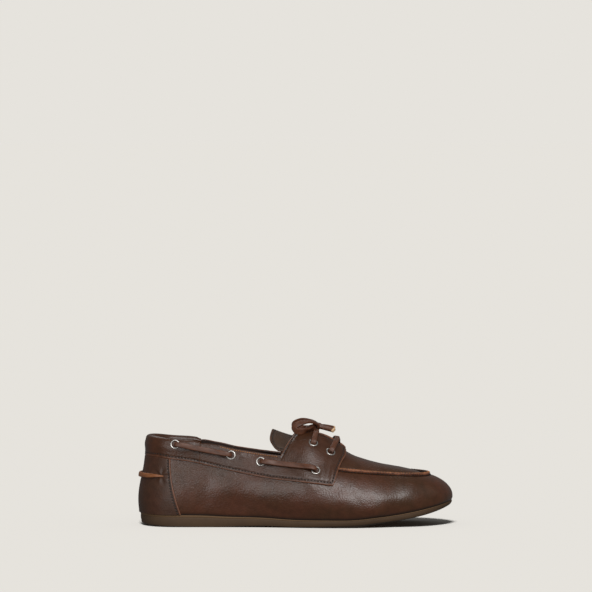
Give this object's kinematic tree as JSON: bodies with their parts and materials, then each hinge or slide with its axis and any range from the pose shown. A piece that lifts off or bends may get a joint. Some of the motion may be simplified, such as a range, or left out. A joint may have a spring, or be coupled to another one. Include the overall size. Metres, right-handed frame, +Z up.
{
  "type": "loafer",
  "caption": "Low leather boat loafer with a raised moccasin toe seam, side lacing through metal eyelets, a tied bow over a tongue and a thin flat sole.",
  "frame": {"origin": "on the floor under the middle of the heel, where the sole's heel rests", "axes": "+X to the toe, +Z up, -Y to the outer (lateral) side of this right shoe"},
  "size_m": [0.2642, 0.0906, 0.0901],
  "materials": {
    "leather": "dark brown pull-up leather, satin, with worn highlights",
    "rawhide": "brown rawhide lace, semi-gloss",
    "insole": "smooth brown lining leather, matt",
    "sole": "brown moulded rubber, matt",
    "nickel": "nickel-plated brass, slightly worn"
  },
  "bodies": {
    "root": {"eyelet_collar_end_lateral": "nickel", "eyelet_collar_end_medial": "nickel", "eyelet_collar_front_lateral": "nickel", "eyelet_collar_front_medial": "nickel", "eyelet_collar_middle_lateral": "nickel", "eyelet_collar_middle_medial": "nickel", "eyelet_collar_rear_lateral": "nickel", "eyelet_collar_rear_medial": "nickel", "eyelet_facing_front_lateral": "nickel", "eyelet_facing_front_medial": "nickel", "eyelet_facing_rear_lateral": "nickel", "eyelet_facing_rear_medial": "nickel", "eyestay_lateral": "leather", "eyestay_medial": "leather", "heel_collar": "leather", "heel_counter": "leather", "insole": "insole", "lace_end_lateral": "rawhide", "lace_end_medial": "rawhide", "lace_front_bar": "rawhide", "lace_front_to_end_lateral": "rawhide", "lace_front_to_end_medial": "rawhide", "lace_heel": "rawhide", "lace_knot": "rawhide", "lace_loop_lateral": "rawhide", "lace_loop_medial": "rawhide", "lace_rear_bar": "rawhide", "lace_rear_to_middle_lateral": "rawhide", "lace_rear_to_middle_medial": "rawhide", "outsole": "sole", "tongue": "leather", "upper": "leather"}
  },
  "joints": []
}
